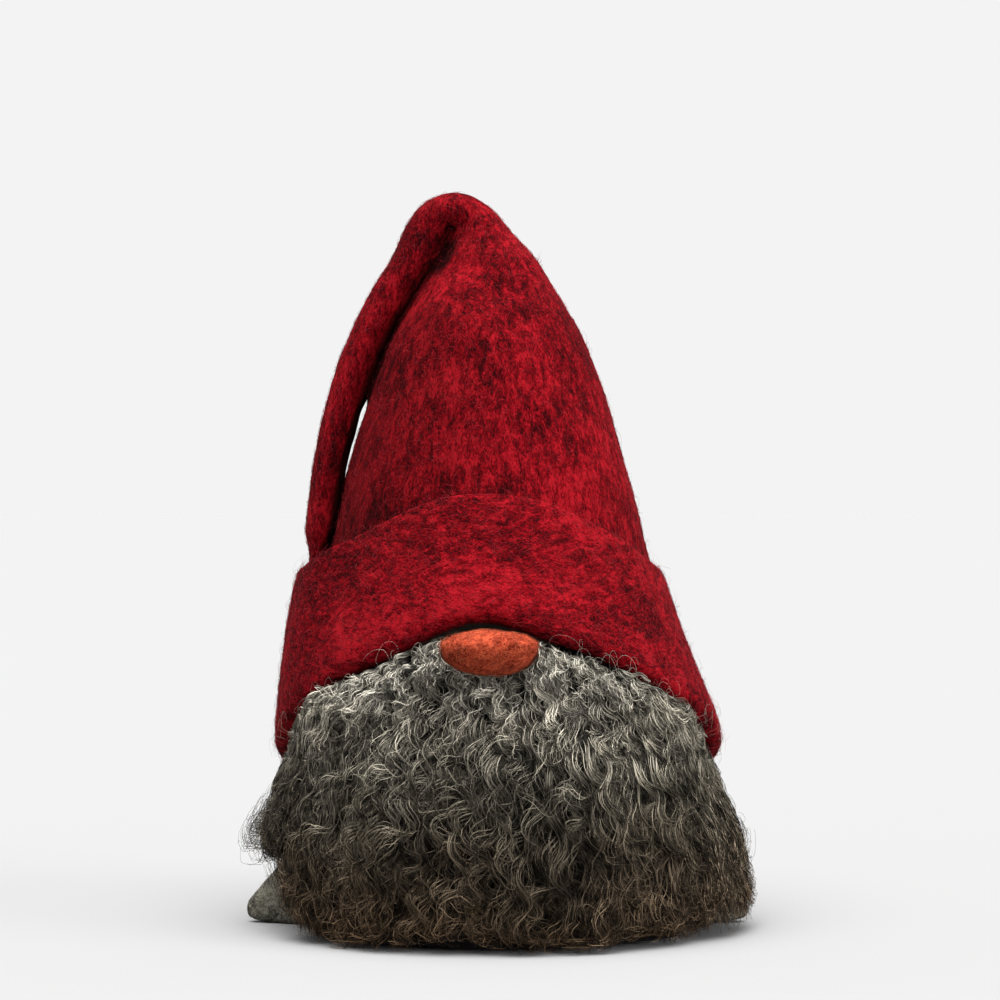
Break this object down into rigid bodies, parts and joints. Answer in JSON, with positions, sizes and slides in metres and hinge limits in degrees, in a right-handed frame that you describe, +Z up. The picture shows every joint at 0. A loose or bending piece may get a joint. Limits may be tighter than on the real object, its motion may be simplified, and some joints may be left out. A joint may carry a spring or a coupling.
{
  "type": "tomte gnome figurine",
  "caption": "Felt tomte gnome with a tall folded-over hat with a turned-up cuff, a ball nose and a curly sheepskin beard on a weighted sack body.",
  "frame": {"origin": "middle of the flat sole, on the surface the figurine stands on", "axes": "+Z up, the face looks along -Y, +X is the viewer's right when facing it"},
  "size_m": [0.2394, 0.2303, 0.35],
  "materials": {
    "red_felt": "fulled wool, fuzzy matte, mottled maroon and red",
    "orange_felt": "needle-felted wool, matte",
    "grey_felt": "pressed wool felt, heather grey, matte",
    "calico": "unbleached plain weave",
    "wadding": "carded white wool wadding",
    "fleece": "long curly grey sheep's wool, silvery tips",
    "cord": "twisted linen twine",
    "hide": "undyed suede sheepskin",
    "plywood": "unfinished birch plywood",
    "sand": "dry sand"
  },
  "bodies": {
    "figure": {"sole_panel": "grey_felt", "base_disc": "plywood", "body_sack": "grey_felt", "ballast_bag": "calico", "ballast_sand": "sand", "ballast_tie": "cord", "body_fill": "wadding", "head_cover": "calico", "head_fill": "wadding", "neck_cord": "cord", "beard_hide": "hide", "beard_fleece": "fleece", "nose": "orange_felt", "nose_thread": "cord"},
    "hat": {"hat_crown": "red_felt", "hat_cuff": "red_felt", "hat_wadding": "wadding"},
    "hat_tip": {"hat_tip": "red_felt"}
  },
  "joints": [
    {"name": "hat_lift", "type": "slide", "parent": "figure", "child": "hat", "axis": [0, 0, 1], "range_m": [0, 0.3]},
    {"name": "tip_swing", "type": "hinge", "parent": "hat", "child": "hat_tip", "pos_m": [-0.0045, 0.003, 0.316], "axis": [0, 0, 1], "range_deg": [-50, 8]}
  ]
}
